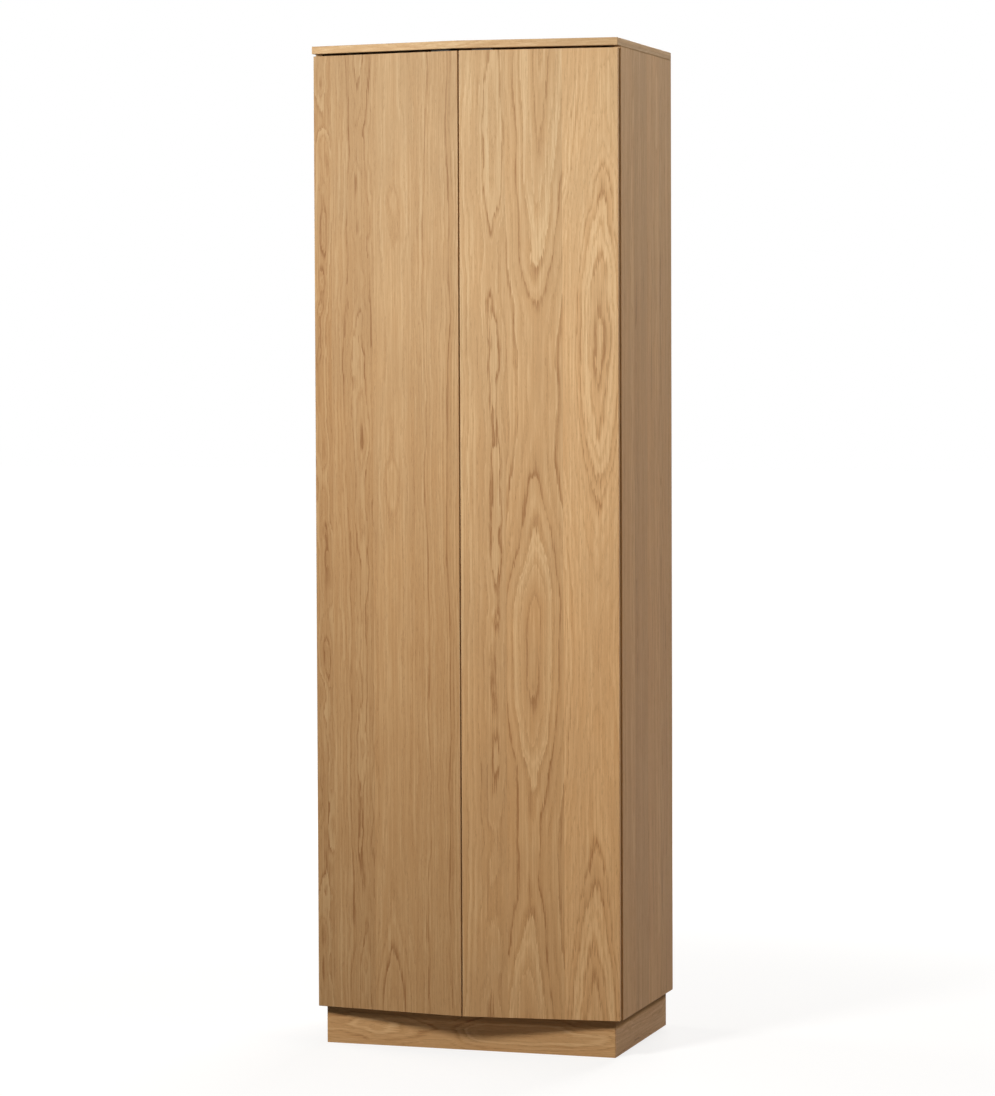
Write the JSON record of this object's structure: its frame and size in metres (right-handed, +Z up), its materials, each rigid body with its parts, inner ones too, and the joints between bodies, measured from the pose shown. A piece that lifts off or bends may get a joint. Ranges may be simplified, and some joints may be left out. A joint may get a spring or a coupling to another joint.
{
  "type": "wardrobe",
  "caption": "Tall wooden wardrobe with a shallow V-shaped front of handleless doors on concealed hinges, a recessed plinth, a hat shelf and a hanging rail.",
  "frame": {"origin": "middle of the footprint's bounding box, on the floor", "axes": "+Z up, -Y towards the doors, +X to the right as seen from the front"},
  "size_m": [0.68, 0.475, 2.15],
  "materials": {
    "oak_veneer": "natural oak veneer, matt lacquer",
    "back_board": "thin fibreboard with an oak face",
    "pine": "planed softwood",
    "beech": "fluted beech",
    "hinge_steel": "nickel plated",
    "screw_steel": "zinc plated",
    "cam_zinc": "die-cast zinc",
    "rail_chrome": "chromed tube",
    "latch_plastic": "grey moulded plastic",
    "plunger_plastic": "white moulded plastic",
    "bumper_rubber": "clear soft pad"
  },
  "bodies": {
    "carcass": {"top_panel": "oak_veneer", "bottom_panel": "oak_veneer", "hat_shelf": "oak_veneer", "back_panel": "back_board", "plinth_front_board": "oak_veneer", "plinth_rear_board": "oak_veneer", "plinth_corner_blocks": "pine", "plinth_screws": "screw_steel", "cam_housings": "cam_zinc", "cam_bolts": "screw_steel", "wood_dowels": "beech", "hanging_rail": "rail_chrome", "rail_socket_screws": "screw_steel", "wall_brackets": "hinge_steel", "wall_bracket_screws": "screw_steel", "left_side_panel": "oak_veneer", "left_plinth_side_board": "oak_veneer", "left_rail_socket": "hinge_steel", "left_hinge_plates": "hinge_steel", "left_hinge_plate_screws": "screw_steel", "left_hinge_arms": "hinge_steel", "left_hinge_arm_screws": "screw_steel", "left_hinge_arm_pins": "screw_steel", "left_latch_housings": "latch_plastic", "left_latch_screws": "screw_steel", "right_side_panel": "oak_veneer", "right_plinth_side_board": "oak_veneer", "right_rail_socket": "hinge_steel", "right_hinge_plates": "hinge_steel", "right_hinge_plate_screws": "screw_steel", "right_hinge_arms": "hinge_steel", "right_hinge_arm_screws": "screw_steel", "right_hinge_arm_pins": "screw_steel", "right_latch_housings": "latch_plastic", "right_latch_screws": "screw_steel"},
    "left_main_links": {"left_hinge_main_links": "hinge_steel"},
    "left_door": {"left_door_panel": "oak_veneer", "left_hinge_cups": "hinge_steel", "left_hinge_cup_pins": "screw_steel", "left_hinge_cup_screws": "screw_steel", "left_strike_plates": "screw_steel", "left_door_bumpers": "bumper_rubber"},
    "left_guide_links": {"left_hinge_guide_links": "hinge_steel"},
    "left_plungers": {"left_latch_plungers": "plunger_plastic"},
    "right_main_links": {"right_hinge_main_links": "hinge_steel"},
    "right_door": {"right_door_panel": "oak_veneer", "right_hinge_cups": "hinge_steel", "right_hinge_cup_pins": "screw_steel", "right_hinge_cup_screws": "screw_steel", "right_strike_plates": "screw_steel", "right_door_bumpers": "bumper_rubber"},
    "right_guide_links": {"right_hinge_guide_links": "hinge_steel"},
    "right_plungers": {"right_latch_plungers": "plunger_plastic"}
  },
  "joints": [
    {"name": "left_main_link_swing", "type": "hinge", "parent": "carcass", "child": "left_main_links", "pos_m": [-0.3098, -0.1776, 1.10525], "axis": [0, 0, 1], "range_deg": [0, 38.5]},
    {"name": "left_door_swing", "type": "hinge", "parent": "left_main_links", "child": "left_door", "pos_m": [-0.3257, -0.18008, 1.10525], "axis": [0, 0, -1], "range_deg": [0, 133.28]},
    {"name": "left_guide_link_swing", "type": "hinge", "parent": "left_door", "child": "left_guide_links", "pos_m": [-0.32747, -0.18501, 1.10525], "axis": [0, 0, 1], "range_deg": [0, 104.5]},
    {"name": "left_latch_press", "type": "slide", "parent": "carcass", "child": "left_plungers", "axis": [0.114, 0.9935, 0], "range_m": [0, 0.003], "stiffness_N_per_m": 400, "springref_m": -0.004},
    {"name": "right_main_link_swing", "type": "hinge", "parent": "carcass", "child": "right_main_links", "pos_m": [0.3098, -0.1776, 1.10525], "axis": [0, 0, -1], "range_deg": [0, 38.5]},
    {"name": "right_door_swing", "type": "hinge", "parent": "right_main_links", "child": "right_door", "pos_m": [0.3257, -0.18008, 1.10525], "axis": [0, 0, 1], "range_deg": [0, 133.28]},
    {"name": "right_guide_link_swing", "type": "hinge", "parent": "right_door", "child": "right_guide_links", "pos_m": [0.32747, -0.18501, 1.10525], "axis": [0, 0, -1], "range_deg": [0, 104.5]},
    {"name": "right_latch_press", "type": "slide", "parent": "carcass", "child": "right_plungers", "axis": [-0.114, 0.9935, 0], "range_m": [0, 0.003], "stiffness_N_per_m": 400, "springref_m": -0.004}
  ],
  "couplings": [
    {"joint": "left_main_link_swing", "follows": "left_door_swing", "ratio": 0.28724},
    {"joint": "left_guide_link_swing", "follows": "left_door_swing", "ratio": 0.7819},
    {"joint": "right_main_link_swing", "follows": "right_door_swing", "ratio": 0.28724},
    {"joint": "right_guide_link_swing", "follows": "right_door_swing", "ratio": 0.7819}
  ]
}
